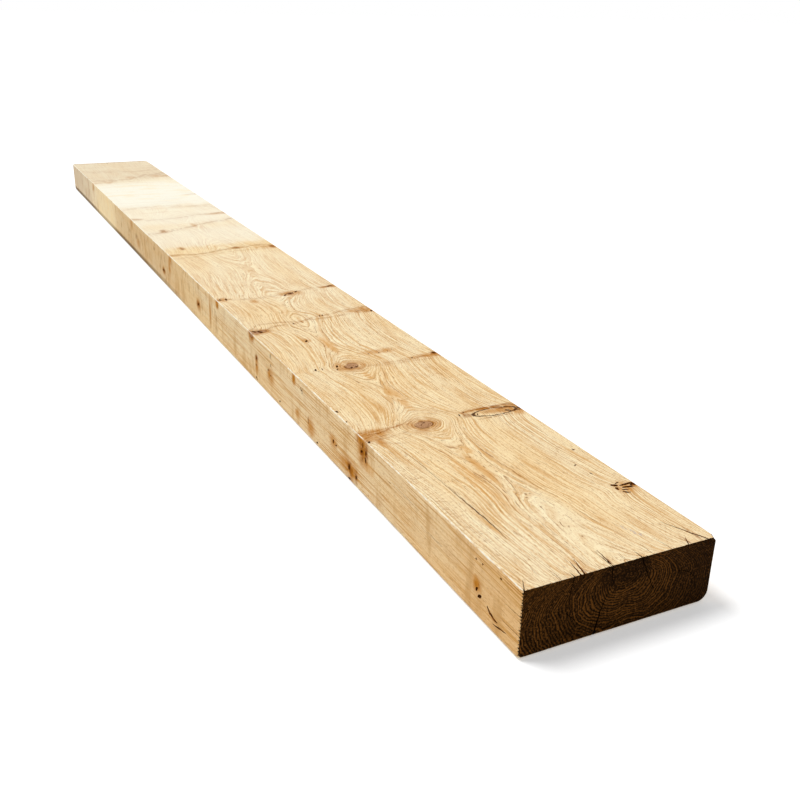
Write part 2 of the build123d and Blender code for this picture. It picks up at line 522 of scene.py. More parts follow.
class TIMBER_OT_checks(bpy.types.Operator):
    """Open the checks in both ends, in the top face and in the front"""

    bl_idname = "timber.checks"
    bl_label = "Checks"

    def execute(self, context):
        beam = the_beam()
        dice = random.Random(context.scene.beam_sizes.seed)
        split = bare_recipe("split_wood", paint(160, 92, 32), paint(84, 41, 9))
        # The end checks' walls are painted as dark as the end faces: weathered end grain with painted shade
        weathered = bare_recipe("weathered_shaded_split", paint(34, 19, 8), paint(12, 7, 3))
        listed = [("near", end_stations(*check)) for check in NEAR_CHECKS]
        listed += [("far", end_stations(*check)) for check in FAR_CHECKS]
        listed += [("top", check) for check in TOP_CHECKS]
        listed += [("front", check) for check in FRONT_CHECKS]
        walls = {"near": weathered, "far": weathered, "top": split, "front": split}
        tools = [check_tool(face, wandering(stations, dice), walls[face]) for face, stations in listed]
        cut_away(beam, tools, "checks")
        return {"FINISHED"}


# Pits: bark, rot and old knot holes. Each has its place on its face, its half length, half breadth and depth
# in millimetres, and how far it is turned in degrees


PITS = {
    "top": [
        (1125, 100, 9.5, 2.0, 3.5, 97), (1131, 98, 8.5, 1.9, 3.0, 82), (1128, 107, 5.0, 2.6, 3.0, 100),
        (1123, 86, 4.2, 2.4, 3.0, 60), (1130, 84, 3.6, 1.9, 2.5, -20), (1140, 88, 4.4, 1.5, 2.0, 50),
        (1135, 91, 4.6, 1.2, 2.0, 75), (1119, 92, 3.4, 1.0, 2.0, 110), (1142, 91, 1.8, 0.9, 1.6, 120),
        (1032, 98, 1.9, 1.4, 1.6, 20), (1066, 76, 2.8, 0.9, 1.4, 120), (1090, 80, 2.4, 0.8, 1.2, 10),
        (903, 90, 4.2, 2.0, 2.6, 60), (907, 102, 4.5, 0.9, 1.6, 70), (902, 108, 4.0, 1.5, 2.2, 40),
        (911, 68, 7.0, 0.6, 1.4, 92), (900, 48, 3.4, 0.8, 1.6, -20), (893, 26, 3.4, 1.0, 1.8, -15),
        (887, 35, 2.2, 0.7, 1.2, 120), (895, -25, 2.4, 0.8, 1.0, 110), (900, -31, 2.0, 0.7, 1.0, 160),
        (919, -109, 3.0, 1.4, 2.2, -20), (822, -109, 3.4, 1.6, 2.6, 10), (855, -110, 2.0, 0.9, 1.4, -30),
        (686, -22, 3.6, 1.5, 2.0, -70), (687, -30, 2.8, 1.6, 2.4, -50), (675, -47, 4.2, 1.7, 2.6, -20),
        (686, -51, 3.2, 1.2, 2.0, -35), (677, -70, 4.4, 1.0, 1.8, -10), (677, -80, 4.4, 1.7, 2.4, -15),
        (684, -78, 1.6, 1.0, 1.4, 0), (677, 105, 5.0, 2.4, 2.4, 10), (684, 66, 3.6, 0.8, 1.2, -40),
        (645, 15, 2.6, 1.0, 1.4, 10), (646, 31, 2.4, 0.9, 1.2, -40), (644, 46, 2.4, 0.8, 1.2, -20),
        (639, 55, 2.0, 0.7, 1.0, -20), (558, -48, 4.6, 1.8, 2.4, -28), (471, -36, 4.6, 0.9, 1.6, -8),
        (490, -98, 6.0, 3.0, 2.8, 35), (486, -106, 4.4, 2.2, 2.4, 20), (448, 22, 5.0, 0.9, 1.4, -20),
        (449, 17, 5.0, 0.9, 1.4, -20), (456, 106, 4.0, 2.4, 2.2, -20), (303, 30, 5.0, 1.8, 2.4, -50),
        (310, 18, 6.5, 2.4, 2.8, -65), (318, 5, 5.5, 2.0, 2.4, -40), (304, -96, 6.5, 1.8, 2.4, -8),
        (303, -106, 5.0, 1.6, 2.2, 0), (292, 98, 6.0, 2.4, 2.2, -70),
    ],
    "front": [
        (905, 57, 3.6, 1.7, 3.2, 20), (917, 60, 3.6, 1.8, 3.4, 80), (916, 50, 4.2, 1.5, 3.0, 100),
        (908, 66, 4.0, 1.2, 2.0, 90), (868, 20, 4.0, 2.4, 3.4, 80), (889, 15, 3.0, 1.8, 2.8, 90),
        (868, 4, 4.4, 1.6, 2.6, 10), (818, 33, 3.2, 2.2, 2.8, 70), (827, 31, 2.4, 1.2, 2.0, 20),
        (762, 7, 3.2, 1.4, 2.4, 20), (730, 26, 6.0, 1.0, 1.8, 95), (707, 61, 2.6, 1.2, 1.4, 40),
        (578, 67, 4.2, 1.2, 2.2, 85), (578, 52, 2.6, 1.2, 1.8, 90), (566, 41, 2.6, 1.3, 1.8, 20),
        (578, 36, 3.0, 1.0, 1.6, 15), (513, 42, 3.4, 1.8, 2.4, 60), (511, 30, 4.0, 0.8, 1.4, 10),
        (510, 8, 5.0, 1.8, 2.4, -20), (616, 10, 3.0, 1.2, 2.0, 20), (1180, 26, 4.2, 2.2, 3.4, 30),
        (1174, 31, 3.4, 1.6, 2.4, 60), (1170, 62, 1.4, 1.0, 1.4, 0), (1182, 63, 1.6, 1.0, 1.4, 20),
        (1214, 66, 2.0, 1.0, 1.4, 0), (179, 33, 6.0, 2.4, 3.0, 25), (-88, 31, 6.0, 2.6, 3.0, 10),
    ],
    "near": [(68, 47, 2.0, 0.8, 2.0, -20), (-106, 52, 2.0, 1.0, 2.0, 30)],
}
# How uneven a pit is, beside its size
ROUGH = 0.22


def pit_tool(face, first, second, length, breadth, depth, turn, material, dice, detail=2, rough=ROUGH):
    """An uneven pebble that is cut out of a face to leave a pit. Its length and breadth are given halved."""
    place, outward = turned_place(face, first, second)
    aim = outward.to_track_quat("Z", "Y") @ Quaternion((0, 0, 1), math.radians(turn))
    start()
    bpy.ops.mesh.primitive_ico_sphere_add(
        subdivisions=detail,
        radius=1,
        location=place,
        rotation=aim.to_euler(),
        scale=(length * MM, breadth * MM, depth * MM),
    )
    for vertex in bpy.context.object.data.vertices:
        vertex.co *= 1 + dice.uniform(-rough, rough)
    pebble = fresh("pit_tool")
    pebble.data.materials.append(material)
    return pebble


class TIMBER_OT_pits(bpy.types.Operator):
    """Sink the pits that bark and rot have left beside the knots"""

    bl_idname = "timber.pits"
    bl_label = "Bark pits"

    def execute(self, context):
        beam = the_beam()
        dice = random.Random(context.scene.beam_sizes.seed + 1)
        bark = bare_recipe("bark_pocket", paint(150, 84, 28), context.scene.wood_colours.bark)
        tools = [pit_tool(face, *pit, bark, dice) for face, pits in PITS.items() for pit in pits]
        cut_away(beam, tools, "pits")
        return {"FINISHED"}


# Wear: chips along the front arris, and the teeth that the saw has torn at the near end


CHIP_COUNT = 70
# The larger it is, the closer the chips stand at the near end
CHIP_CROWDING = 1.6
# How far apart the teeth up the near end's front edge are
TOOTH_PITCH = 3.3
# Faces that meet at less than this angle are shaded as one
SMOOTH_ANGLE = 35


def chip_tools(dice, wood):
    """Shallow bites along the front arris, closer together towards the near end."""
    tools = []
    for number in range(CHIP_COUNT):
        share = (number + dice.random()) / CHIP_COUNT
        along = END_MM - 4 - (2 * END_MM - 30) * share**CHIP_CROWDING
        bite = dice.uniform(0.5, 1.1)
        up = TOP_MM - dice.uniform(0.0, 0.6)
        length = dice.uniform(2.0, 7.0)
        tools.append(pit_tool("front", along, up, length, bite, bite, 0, wood, dice, detail=1))
    return tools


def tooth_tools(dice, torn):
    """Ragged notches up the front edge of the near end, finer ones along its top, and a knocked corner."""
    tools = []

    def notch(across, up, halves, detail=1, rough=ROUGH):
        tools.append(pit_tool("near", across, up, *halves, 0, torn, dice, detail, rough))

    up = 6.0
    while up < TOP_MM - 2:
        size = dice.uniform(0.9, 1.7)
        notch(FRONT_MM + 0.2, up, (size * 1.1, size * 0.8, dice.uniform(1.5, 3.5)))
        up += TOOTH_PITCH * dice.uniform(0.7, 1.3)
    across = FRONT_MM + 5
    while across < BACK_MM - 6:
        size = dice.uniform(0.4, 1.1)
        notch(across, TOP_MM + 0.1, (size, size * 0.9, dice.uniform(1.0, 3.0)))
        across += dice.uniform(3.0, 12.0)
    # Two larger ones, beside a check and at the front corner
    notch(-50.5, TOP_MM - 0.3, (1.6, 1.5, 2.4))
    notch(-111, TOP_MM - 0.3, (1.2, 2.6, 3.0))
    # The top corner at the back has been knocked
    notch(BACK_MM + 5, TOP_MM + 4.5, (12, 12, 12), detail=4, rough=0.012)
    return tools


class TIMBER_OT_wear(bpy.types.Operator):
    """Chip the front arris and tear the edges of the near end"""

    bl_idname = "timber.wear"
    bl_label = "Chips and torn edges"

    def execute(self, context):
        beam = the_beam()
        dice = random.Random(context.scene.beam_sizes.seed + 2)
        wood = beam.data.materials[0]
        torn = bare_recipe("torn_wood", paint(100, 58, 20), paint(46, 24, 7))
        cut_away(beam, chip_tools(dice, wood) + tooth_tools(dice, torn), "wear")
        only(beam)
        bpy.ops.object.shade_smooth_by_angle(angle=math.radians(SMOOTH_ANGLE))
        return {"FINISHED"}


# The material's tools


def operator(operation, turned=False):
    """A Python operator between a signal and a number or signal, which adds one Math node."""

    def act(self, other):
        return self.recipe.math(operation, *((other, self) if turned else (self, other)))

    return act


class Signal:
    """A socket whose value changes over the surface. Arithmetic on it adds Math nodes."""

    __add__ = operator("ADD")
    __radd__ = operator("ADD", turned=True)
    __sub__ = operator("SUBTRACT")
    __rsub__ = operator("SUBTRACT", turned=True)
    __mul__ = operator("MULTIPLY")
    __rmul__ = operator("MULTIPLY", turned=True)
    __truediv__ = operator("DIVIDE")
    __rtruediv__ = operator("DIVIDE", turned=True)
    __pow__ = operator("POWER")
    __rpow__ = operator("POWER", turned=True)
    at_least = operator("MAXIMUM")
    at_most = operator("MINIMUM")

    def __init__(self, recipe, socket):
        self.recipe = recipe
        self.socket = socket

    def __abs__(self):
        return self.recipe.math("ABSOLUTE", self)

    def floor(self):
        return self.recipe.math("FLOOR", self)

    def fraction(self):
        return self.recipe.math("FRACT", self)

    def between(self, low, high):
        """0 below low and 1 above high, with a smooth rise. It falls instead where low is the larger."""
        settings = {"interpolation_type": "SMOOTHSTEP"}
        sockets = {"Value": self, "From Min": low, "From Max": high}
        return self.recipe.signal(self.recipe.node("MapRange", settings, sockets))


class Recipe:
    """The node tree of one material or world, and the ways that its nodes are added."""

    def __init__(self, owner):
        self.owner = owner
        owner.use_nodes = True
        self.nodes = owner.node_tree.nodes
        self.links = owner.node_tree.links
        self.colour = None
        self.nodes.clear()

    def node(self, kind, settings=None, sockets=None):
        """Adds one node: its settings are set first, and then its sockets get their values or links."""
        made = self.nodes.new("ShaderNode" + kind)
        for name, value in (settings or {}).items():
            setattr(made, name, value)
        for key, value in (sockets or {}).items():
            self.feed(made.inputs[key], value)
        return made

    def feed(self, socket, value):
        """Links a signal to a socket, or sets a constant there."""
        if isinstance(value, Signal):
            self.links.new(value.socket, socket)
        else:
            socket.default_value = value

    def signal(self, node, output=0):
        """The signal that leaves one output of a node."""
        return Signal(self, node.outputs[output])

    def math(self, operation, *values):
        """A Math node."""
        return self.signal(self.node("Math", {"operation": operation}, dict(enumerate(values))))

    def vector(self, operation, *values, scale=None):
        """A Vector Math node. Lengths and dot products come back as numbers, the rest as vectors."""
        sockets = dict(enumerate(values))
        if scale is not None:
            sockets["Scale"] = scale
        made = self.node("VectorMath", {"operation": operation}, sockets)
        return self.signal(made, "Value" if operation in {"LENGTH", "DOT_PRODUCT"} else "Vector")

    def join(self, x, y, z):
        """A vector from three numbers."""
        return self.signal(self.node("CombineXYZ", {}, {0: x, 1: y, 2: z}))

    def noise(self, place, stretch, detail=2.0, roughness=0.5, output="Fac"):
        """Cloudy noise whose lumps have about the given lengths in millimetres."""
        scaled = self.vector("DIVIDE", place, stretch)
        sockets = {"Vector": scaled, "Scale": 1.0, "Detail": detail, "Roughness": roughness}
        return self.signal(self.node("TexNoise", {"noise_dimensions": "3D"}, sockets), output)

    def mix(self, factor, first, second):
        """Mixes two colours."""
        settings = {"data_type": "RGBA", "clamp_factor": True}
        colours = [value if isinstance(value, Signal) else (*value, 1) for value in (first, second)]
        return self.signal(self.node("Mix", settings, {0: factor, 6: colours[0], 7: colours[1]}), 2)

    def lay(self, factor, tone):
        """Lays one more tone over the recipe's colour."""
        self.colour = self.mix(factor, self.colour, tone)

    def curve(self, value, points):
        """A curve, given as pairs of place and value, with its places in rising order."""
        low, high = points[0][0], points[-1][0]
        bottom = min(amount for _, amount in points)
        rise = max(amount for _, amount in points) - bottom
        made = self.node("FloatCurve", {}, {"Value": (value - low) / (high - low)})
        line = made.mapping.curves[0]
        while len(line.points) < len(points):
            line.points.new(0.5, 0.5)
        for point, (place, amount) in zip(line.points, points):
            point.location = ((place - low) / (high - low), (amount - bottom) / rise)
        made.mapping.update()
        return self.signal(made) * rise + bottom

    def nearness(self, place, blobs):
        """How near the closest blob is, beside its own size. A blob has its middle and its half sizes."""
        nearest = None
        for middle, halves in blobs:
            shift = tuple(-value / half for value, half in zip(middle, halves))
            scaled = self.vector("MULTIPLY_ADD", place, tuple(1 / half for half in halves), shift)
            ratio = self.vector("LENGTH", scaled)
            nearest = ratio if nearest is None else nearest.at_most(ratio)
        return nearest

    def finish(self, **sockets):
        """Ends a material with one Principled shader."""
        named = {name.replace("_", " "): value for name, value in sockets.items()}
        shader = self.node("BsdfPrincipled", {}, named)
        self.node("OutputMaterial", {}, {"Surface": self.signal(shader)})
        return self.owner


# The tree that the beam was sawn from. Places are in millimetres, in the beam's own frame


# How high the spots in the top face lie, and how far across those in the front
TOP_SPOTS = 75
FRONT_SPOTS = -112

# The rings: their pitch, and how much less they spread across the beam than up through it
RING_PITCH = 2.75
RING_FLATNESS = 0.76
# The rings of the end grain: their pitch, where their heart lies across and up, and how they dip to the sides
END_RING_PITCH = 2.7
END_HEART_SIDE = 4
END_HEART_LEVEL = 61
END_RING_DIP = 0.24

# Where the heart of the tree lies in the section, up and across, along the beam
PITH_LEVEL = [
    (-1250, 52), (-1080, 44), (-909, 50), (-770, 40), (-648, 46), (-500, 38), (-378, 48), (-200, 37),
    (-40, 47), (130, 36), (306, 46), (400, 40), (451, 45), (560, 39), (680, 48), (800, 40), (902, 46),
    (1035, 43), (1120, 49), (1180, 52), (1250, 60),
]
PITH_SIDE = [
    (-1250, 4), (-1000, -6), (-750, 2), (-420, -8), (-90, 3), (220, -6), (451, -18), (660, -22),
    (902, -22), (1070, -13), (1170, -9), (1250, 4),
]

# How pale the top and the front are painted along the beam: sun-bleached wood, and on the top, where it is
# whitest from about -900 to -530 mm, a painted highlight of glare
PALE_AND_GLARE_TOP = [
    (-1250, 0.40), (-960, 0.40), (-905, 0.50), (-840, 0.86), (-760, 0.96), (-600, 0.96), (-545, 0.88),
    (-490, 0.62), (-340, 0.66), (-282, 0.44), (-220, 0.58), (-100, 0.48), (-50, 0.05), (10, 0.20),
    (150, 0.22), (500, 0.10), (900, 0.07), (1250, 0.10),
]
BLEACH_SIDE = [
    (-1250, 0.3), (-900, 0.3), (-800, 0.3), (-700, 0.3), (-580, 0.06), (-450, 0), (0, 0), (500, 0.04),
    (1250, 0),
]

# How warm the front's stain is, and how much darker brown the front is coloured, along the beam
FRONT_WARMTH = [
    (-1250, 0.1), (0, 0.11), (450, 0.18), (620, 0.32), (800, 0.34), (1080, 0.5), (1180, 0.76), (1250, 0.84),
]
FRONT_BROWNER = [
    (-1250, 0.55), (-1120, 0.42), (-1010, 0.14), (-900, 0.08), (-780, 0), (-640, 0.05), (-520, 0.42),
    (-150, 0.44), (60, 0.26), (300, 0.1), (700, 0), (1250, 0),
]

# Each branch runs out from the heart to where it left the log: its two ends, its radius at the outer one,
# and how far it swells the rings round it. The first list has the knots that show as a round heart
ROUND_KNOTS = [
    ((897, -16, 40), (900, -27, 76), 11, 17),
    ((677, -16, 40), (681, -27, 76), 11.5, 16),
    ((488, -60, 58), (490, -104, 74), 8, 6),
    ((300, 10, 44), (311, 17, 76), 6, 9),
]
SPIKE_KNOTS = [
    ((893, 4, 58), (901, 118, 74), 20, 9),
    ((895, -40, 56), (908, -118, 58), 15, 6),
    ((886, -30, 36), (872, -118, 14), 15, 4),
    ((560, -40, 36), (572, -118, 38), 9, 4),
    ((170, -30, 36), (176, -118, 32), 9, 4),
    ((-80, -30, 36), (-88, -118, 30), 10, 4),
    ((898, -38, 56), (905, -116, 73), 21, 6),
    ((684, 8, 60), (683, 118, 73), 14, 7),
    ((680, -42, 56), (677, -118, 68), 10, 5),
    ((447, 26, 60), (446, 118, 74), 19, 6),
    ((300, 34, 62), (292, 118, 74), 11, 5),
    ((306, -30, 60), (304, -118, 70), 11, 5),
    ((-38, 20, 60), (-30, 118, 72), 16, 6),
    ((-32, -20, 60), (-26, -118, 68), 12, 5),
    ((-380, 2, 60), (-396, 118, 72), 18, 6),
    ((-380, -20, 58), (-392, -118, 68), 15, 6),
    ((-648, 8, 58), (-652, 118, 70), 13, 5),
    ((-910, -10, 56), (-892, -118, 66), 16, 6),
    ((-930, 8, 58), (-958, 118, 72), 20, 6),
    ((1128, 60, 62), (1130, 118, 78), 10, 6),
    ((1172, -60, 36), (1174, -118, 36), 8, 3),
    ((890, 6, 34), (910, 62, -3), 15, 12),
    ((670, 4, 34), (660, -48, -3), 13, 10),
    ((450, 4, 30), (470, 118, 24), 13, 5),
    ((-40, 4, 30), (-30, 70, -3), 12, 9),
    ((-380, -4, 30), (-400, -60, -3), 14, 10),
    ((-910, 4, 30), (-930, 40, -3), 13, 10),
]
# A branch's radius at the heart of the tree, and how much narrower it is along the beam than across
BRANCH_HEART = 2.5
ROUNDNESS = 1.12


def spots(top, front=()):
    """Blobs with a middle and half sizes. Those in the top are given along and across, those in front along
    and up, and all with their half sizes along, across and up."""
    in_top = [((x, y, TOP_SPOTS), halves) for x, y, *halves in top]
    in_front = [((x, FRONT_SPOTS, z), halves) for x, z, *halves in front]
    return in_top + in_front


# Brown stain that lies away from the branches
STAINS = spots(
    top=[
        (1131, 95, 15, 17, 7), (887, 68, 4.5, 46, 6), (908, 100, 16, 14, 7), (925, -96, 16, 7, 6),
        (896, -94, 13, 22, 7), (-45, 32, 10, 16, 6), (-286, 4, 24, 7, 5), (-246, -70, 20, 14, 6),
        (640, 34, 12, 34, 6), (310, 18, 17, 26, 8), (330, -55, 16, 10, 5), (304, -101, 15, 12, 6),
        (556, -48, 13, 8, 5), (-78, -75, 16, 8, 5), (-960, 75, 26, 20, 6), (-955, 2, 28, 16, 6),
        (-892, -70, 20, 14, 6),
    ],
    front=[
        (868, 20, 34, 8, 17), (907, 55, 19, 8, 22), (818, 33, 15, 6, 10), (1174, 35, 9, 6, 11),
        (688, 20, 10, 7, 8), (740, 20, 16, 6, 16), (576, 34, 18, 6, 14), (512, 30, 9, 7, 22),
        (483, 66, 7, 9, 9), (178, 32, 16, 7, 13), (258, 40, 7, 5, 30), (-35, 50, 11, 8, 22),
        (-88, 30, 18, 7, 10), (-330, 34, 24, 8, 14),
    ],
)

# Orange zones, where the saw has followed one ring for a while
GLOWS = spots(
    top=[
        (812, -19, 44, 8, 8), (1050, -42, 74, 3.4, 8), (1058, -50, 64, 2.4, 8), (1030, -24, 44, 5, 8),
        (588, -23, 48, 7, 8), (724, -22, 14, 5, 8), (985, -14, 9, 6, 8),
    ],
    front=[(925, 43, 16, 7, 8), (1172, 38, 7, 5, 7)],
)

# Small dark brown marks
MARKS = spots(
    top=[
        (885, 78, 3.4, 36, 5), (897, 32, 7, 9, 5), (914, 66, 1.8, 26, 4), (-32, 102, 16, 6, 4),
        (-45, 30, 12, 9, 4), (-75, -75, 13, 4, 4), (-246, -72, 18, 8, 5), (-252, -50, 14, 4, 4),
        (677, 104, 8, 7, 4), (903, 106, 6, 8, 5), (490, -100, 10, 9, 5), (1240, -44, 13, 1.0, 4),
        (1236, 93, 18, 1.6, 4), (1236, -13, 18, 1.2, 4), (1244, 78, 8, 1.4, 4), (1096, -78, 50, 1.2, 4),
    ],
    front=[
        (905, 56, 6, 5, 14), (918, 58, 5, 5, 15), (869, 18, 8, 6, 14), (890, 16, 5, 5, 10),
        (-345, 46, 16, 4, 6), (-168, 58, 9, 4, 4), (-88, 30, 14, 5, 6), (178, 32, 12, 5, 8),
        (512, 42, 7, 4, 6),
    ],
)

# Dark seams that run across the top from knot to knot and round the old branch hearts: the half width, the
# strength, and the places across and along that the seam passes
SEAMS = [
    (4.2, 0.70, [
        (-113, -30), (-85, -23), (-60, -21), (-5, -37), (39, -44), (84, -52), (104, -30), (113, -26),
    ]),
    (3.0, 0.30, [(-113, 2), (-70, -2), (-20, -12), (40, -20), (113, -4)]),
    (3.0, 0.50, [(-113, 303), (-95, 305), (-50, 316), (-2, 313), (34, 304), (68, 292), (113, 289)]),
    (2.6, 0.70, [
        (-113, 474), (-98, 490), (-71, 474), (-33, 469), (12, 451), (36, 446), (65, 437), (113, 429),
    ]),
    (2.4, 0.55, [(-113, 480), (-102, 470), (-77, 456), (-30, 462), (30, 462), (70, 458), (113, 460)]),
    (7.0, 0.45, [(-113, -228), (-81, -234), (-65, -238), (-23, -262), (6, -279), (113, -330)]),
    (24.0, 0.30, [(-113, -925), (-60, -918), (-10, -935), (60, -985), (113, -1000)]),
    (16.0, 0.18, [(-113, -1120), (0, -1060), (113, -1075)]),
    (14.0, 0.18, [(-113, -500), (-40, -520), (40, -505), (113, -470)]),
    (9.0, 0.26, [(-113, -385), (-40, -372), (40, -392), (113, -400)]),
    (3.0, 0.50, [(-23, 698), (1, 691), (31, 688), (60, 689), (87, 684), (113, 679)]),
    (3.4, 0.36, [(-1, 694), (42, 695), (91, 697)]),
    (3.0, 0.30, [(-28, 856), (1, 866), (17, 876), (34, 886)]),
    (2.6, 0.85, [(28, 889), (53, 886), (76, 888), (95, 893), (109, 897)]),
    (2.2, 0.80, [(-113, 912), (-92, 901), (-73, 895), (-48, 887)]),
    (1.6, 0.70, [(-111, 900), (-93, 894), (-76, 892), (-58, 892)]),
    (1.8, 0.60, [(-113, 917), (-96, 917), (-77, 914), (-56, 911)]),
    (1.8, 0.50, [(-104, 924), (-88, 931), (-72, 938)]),
]

# Clear wood, where the saw has run along one pale ring
CLEAR = spots(top=[(1140, -6, 50, 19, 8), (1208, -13, 48, 19, 8), (1010, 20, 30, 12, 8)])

# A grey scuff near the end
SCUFF = spots(top=[(1198, 38, 6, 2.2, 3), (1209, 42, 9, 2.4, 3), (1216, 45, 4, 2, 3)])

# Old branch hearts that show as dark outlines
EYES = spots(top=[(900, 73, 10.5, 31, 12)], front=[(707, 61, 5, 6, 4)])


def warp(recipe, place, size, amount):
    """Pushes a place about, by up to roughly the given amount, in lumps of the given size."""
    clouds = recipe.noise(place, (size, size, size), detail=2.0, output="Color")
    centred = recipe.vector("SUBTRACT", clouds, (0.5, 0.5, 0.5))
    return recipe.vector("MULTIPLY_ADD", centred, (2 * amount,) * 3, place)


def branch_field(recipe, place, branches, swelling):
    """How near the closest branch is, beside its radius, and the swelling with these branches added."""
    nearest = None
    for root, tip, radius, swell in branches:
        root, tip = Vector(root), Vector(tip)
        length = (tip - root).length
        heading = (tip - root) / length
        arm = recipe.vector("SUBTRACT", place, tuple(root))
        along = recipe.vector("DOT_PRODUCT", arm, tuple(heading)).at_least(0.0)
        foot = recipe.vector("SCALE", tuple(heading), scale=along)
        aside = recipe.vector("MULTIPLY", recipe.vector("SUBTRACT", arm, foot), (ROUNDNESS, 1, 1))
        away = recipe.vector("LENGTH", aside)
        girth = recipe.math("MULTIPLY_ADD", along, (radius - BRANCH_HEART) / length, BRANCH_HEART)
        ratio = away / girth
        nearest = ratio if nearest is None else nearest.at_most(ratio)
        spread = away / (radius * 1.1 + 20)
        fade = recipe.math("MULTIPLY_ADD", spread, spread, 1.0) ** -2.5
        swelling = recipe.math("MULTIPLY_ADD", fade, float(swell), swelling)
    return nearest, swelling


def age_field(recipe, place, x, y, z, swelling):
    """How far out from the heart the wood is, in millimetres, with the rings pushed about by the branches."""
    level = recipe.curve(x, PITH_LEVEL)
    side = recipe.curve(x, PITH_SIDE)
    across = abs(y - side)
    up = (z - level) + across * 0.05
    radius = recipe.math("SQRT", across * across * RING_FLATNESS + up * up)
    slow = recipe.noise(place, (170, 30, 30))
    quick = recipe.noise(place, (36, 9, 9))
    return radius - swelling + (slow - 0.5) * 9 + (quick - 0.5) * 2.6


def ring_luck(recipe, count):
    """A number from 0 to 1 for each ring, so that the rings differ in strength."""
    return recipe.signal(recipe.node("TexWhiteNoise", {"noise_dimensions": "1D"}, {"W": count.floor()}))


def ring_lines(recipe, age, fade):
    """The late wood of each ring, which darkens outwards, and the hairline at its edge."""
    spacing = recipe.signal(
        recipe.node("TexNoise", {"noise_dimensions": "1D"}, {"W": age / 11.0, "Scale": 1.0, "Detail": 1.0})
    )
    count = (age + spacing * 5.0) / RING_PITCH
    part = count.fraction()
    luck = ring_luck(recipe, count)
    other_luck = (luck * 7.31).fraction()
    edge = part.between(1.0, 0.93)
    late = part**2.4 * edge * (luck * 0.8 + 0.2) * fade
    hairline = part.between(0.80, 0.90) * edge * other_luck.between(0.35, 0.75)
    return late, hairline


def seam_lines(recipe, place):
    """How dark the seams across the top are. A wide one wanders more, and each fades at both ends."""
    split = recipe.node("SeparateXYZ", {}, {0: place})
    x, y = recipe.signal(split, "X"), recipe.signal(split, "Y")
    wander = recipe.noise(place, (60, 22, 22)) - 0.5
    darkest = 0.0
    for width, strength, points in SEAMS:
        off = abs(x + wander * width * 2.4 - recipe.curve(y, points))
        ends = y.between(points[0][0] - 5, points[0][0] + 2) * y.between(points[-1][0] + 5, points[-1][0] - 2)
        core = off.between(width, width * 0.2).at_least(off.between(width * 4, width * 0.5) * 0.3)
        darkest = (core * strength * ends).at_least(darkest)
    return darkest


def bare_recipe(name, light, dark):
    """Plain rough wood or bark for the walls of cracks and pits, darkened towards the beam's ends like the
    end faces, which hold weathered end grain and painted shade.
    """
    recipe = Recipe(bpy.data.materials.new(name))
    coordinates = recipe.signal(recipe.node("TexCoord"), "Object")
    place = recipe.vector("SCALE", coordinates, scale=1 / MM)
    grain = recipe.noise(place, (9, 2.2, 2.2), detail=3.0)
    colour = recipe.mix(grain.between(0.4, 0.72), dark, light)
    x = recipe.signal(recipe.node("SeparateXYZ", {}, {0: place}), "X")
    # Within a few millimetres of the ends the walls take the end faces' dark: weathered grain with painted
    # shade
    colour = recipe.mix(abs(x).between(END_MM - 5, END_MM - 1) * 0.8, colour, paint(32, 16, 3))
    return recipe.finish(Base_Color=colour, Roughness=0.9, Specular_IOR_Level=0.0)


def shaded_end_tone(recipe, place, y, z, colours):
    """The end grain, weathered dark and with painted shade in its colour: broad U-shaped rings, dark between
    paler ridges, and clouded at the top.
    """
    across = abs(y - END_HEART_SIDE)
    up = z - END_HEART_LEVEL + across * END_RING_DIP
    squeezed = up + up.at_least(0.0)
    drift = recipe.noise(place, (34, 26, 26))
    shiver = recipe.noise(place, (8, 6, 6))
    radius = recipe.math("SQRT", across * across * RING_FLATNESS + squeezed * squeezed)
    count = (radius + (drift - 0.5) * 12 + (shiver - 0.5) * 2.0) / END_RING_PITCH
    part = count.fraction()
    luck = ring_luck(recipe, count)
    ridge = part.between(0.12, 0.46) * part.between(0.95, 0.66) * (luck * 0.70 + 0.25)
    clouds = recipe.noise(place, (17, 17, 17), detail=4.0, roughness=0.65)
    flecks = recipe.noise(place, (1.8, 1.8, 1.8), detail=3.0, roughness=0.6)
    muddle = (z.between(44, 58) * abs(y - 2).between(36, 22)).at_least(y.between(45, 100) * 0.6)
    muddle = muddle.at_least(clouds.between(0.5, 0.66) * 0.6)
    tone = recipe.mix(ridge * (1 - muddle * 0.75), colours.end_wood_shaded, colours.end_rings_shaded)
    tone = recipe.mix(flecks.between(0.53, 0.68) * 0.55, tone, paint(138, 90, 42))
    tone = recipe.mix(flecks.between(0.48, 0.34) * 0.75, tone, paint(16, 8, 2))
    return recipe.mix(muddle * 0.28 + y.between(0, 110) * 0.22, tone, paint(26, 13, 4))


